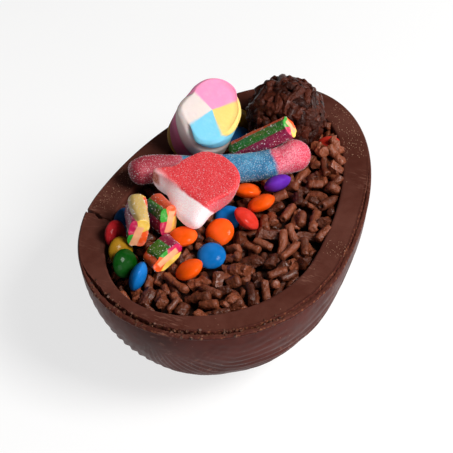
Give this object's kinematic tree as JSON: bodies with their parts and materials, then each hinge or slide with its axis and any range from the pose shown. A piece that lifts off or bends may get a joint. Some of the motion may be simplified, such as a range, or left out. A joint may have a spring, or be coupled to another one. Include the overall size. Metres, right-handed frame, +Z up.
{
  "type": "chocolate egg",
  "caption": "Half of a thick moulded chocolate egg lying on its back, filled with fudge under chocolate sprinkles and topped with assorted sweets.",
  "frame": {"origin": "middle of the bounding box's underside, at the height of the flat spot that the egg stands on", "axes": "+X along the egg towards its pointed end, +Z up out of the open filled half, +Y across it towards the side with the marshmallow"},
  "size_m": [0.1548, 0.106, 0.0823],
  "materials": {
    "milk_chocolate": "smooth milk chocolate with a soft satin sheen",
    "fudge": "dark fudge under glossy chocolate sprinkles",
    "sprinkled_fudge": "dark fudge with glossy chocolate sprinkles pressed in",
    "orange_shell": "polished sugar shell",
    "purple_shell": "polished sugar shell",
    "red_shell": "polished sugar shell",
    "blue_shell": "polished sugar shell",
    "green_shell": "polished sugar shell",
    "yellow_shell": "polished sugar shell",
    "sour_gummy": "gummy coated in fine sour sugar, pink at both ends and blue between",
    "jelly": "sugared jelly, red over white",
    "marshmallow": "dull powdery marshmallow in four pastel strands",
    "filled_rope": "striped liquorice rope with a pale core"
  },
  "bodies": {
    "root": {"egg_shell": "milk_chocolate", "filling": "fudge", "fudge_ball": "sprinkled_fudge", "lentil_orange_1": "orange_shell", "lentil_orange_2": "orange_shell", "lentil_orange_3": "orange_shell", "lentil_orange_4": "orange_shell", "lentil_orange_5": "orange_shell", "lentil_purple": "purple_shell", "lentil_red_1": "red_shell", "lentil_red_2": "red_shell", "lentil_red_3": "red_shell", "lentil_blue_1": "blue_shell", "lentil_blue_2": "blue_shell", "lentil_blue_3": "blue_shell", "lentil_blue_4": "blue_shell", "lentil_blue_5": "blue_shell", "lentil_green_1": "green_shell", "lentil_green_2": "green_shell", "lentil_yellow_1": "yellow_shell", "lentil_yellow_2": "yellow_shell", "sour_worm": "sour_gummy", "jelly": "jelly", "marshmallow": "marshmallow", "rope_long": "filled_rope", "rope_piece_1": "filled_rope", "rope_piece_2": "filled_rope", "rope_piece_3": "filled_rope"}
  },
  "joints": []
}
